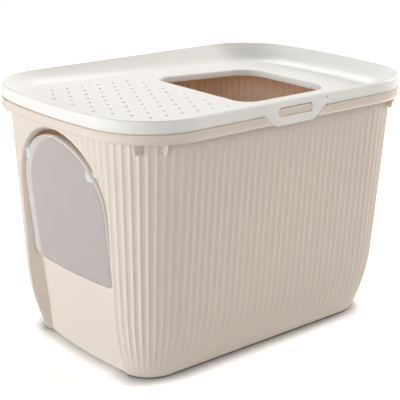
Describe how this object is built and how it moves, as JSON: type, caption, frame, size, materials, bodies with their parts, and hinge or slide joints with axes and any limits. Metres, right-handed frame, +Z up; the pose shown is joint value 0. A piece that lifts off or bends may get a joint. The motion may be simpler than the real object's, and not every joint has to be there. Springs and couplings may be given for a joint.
{
  "type": "top entry litter box",
  "caption": "Fluted oblong litter bin with a dished, perforated lid held down by a latch on each long side, an entry hole in its top and a swinging arched flap in one end.",
  "frame": {"origin": "centre of the overall box at the ground the bin stands on", "axes": "+X runs along the bin from the flap's end to the plain end, +Y across it, +Z up; the flap's end faces -X and the long side with the front latch faces -Y"},
  "size_m": [0.585, 0.396, 0.394],
  "materials": {
    "bin_plastic": "satin",
    "lid_plastic": "satin",
    "flap_plastic": "frosted"
  },
  "bodies": {
    "bin": {"bin": "bin_plastic"},
    "lid": {"lid": "lid_plastic"},
    "front_latch": {"front_latch": "lid_plastic"},
    "rear_latch": {"rear_latch": "lid_plastic"},
    "door": {"door_flap": "flap_plastic"}
  },
  "joints": [
    {"name": "lid_lift", "type": "slide", "parent": "bin", "child": "lid", "axis": [0, 0, 1], "range_m": [0, 0.18]},
    {"name": "front_latch_flex", "type": "hinge", "parent": "lid", "child": "front_latch", "pos_m": [0, -0.1958, 0.388], "axis": [-1, 0, 0], "range_deg": [0, 10], "stiffness_Nm_per_rad": 0.3},
    {"name": "rear_latch_flex", "type": "hinge", "parent": "lid", "child": "rear_latch", "pos_m": [0, 0.1958, 0.388], "axis": [1, 0, 0], "range_deg": [0, 10], "stiffness_Nm_per_rad": 0.3},
    {"name": "door_swing", "type": "hinge", "parent": "bin", "child": "door", "pos_m": [-0.2627, 0, 0.303], "axis": [0, 1, 0], "range_deg": [-50, 80]}
  ]
}
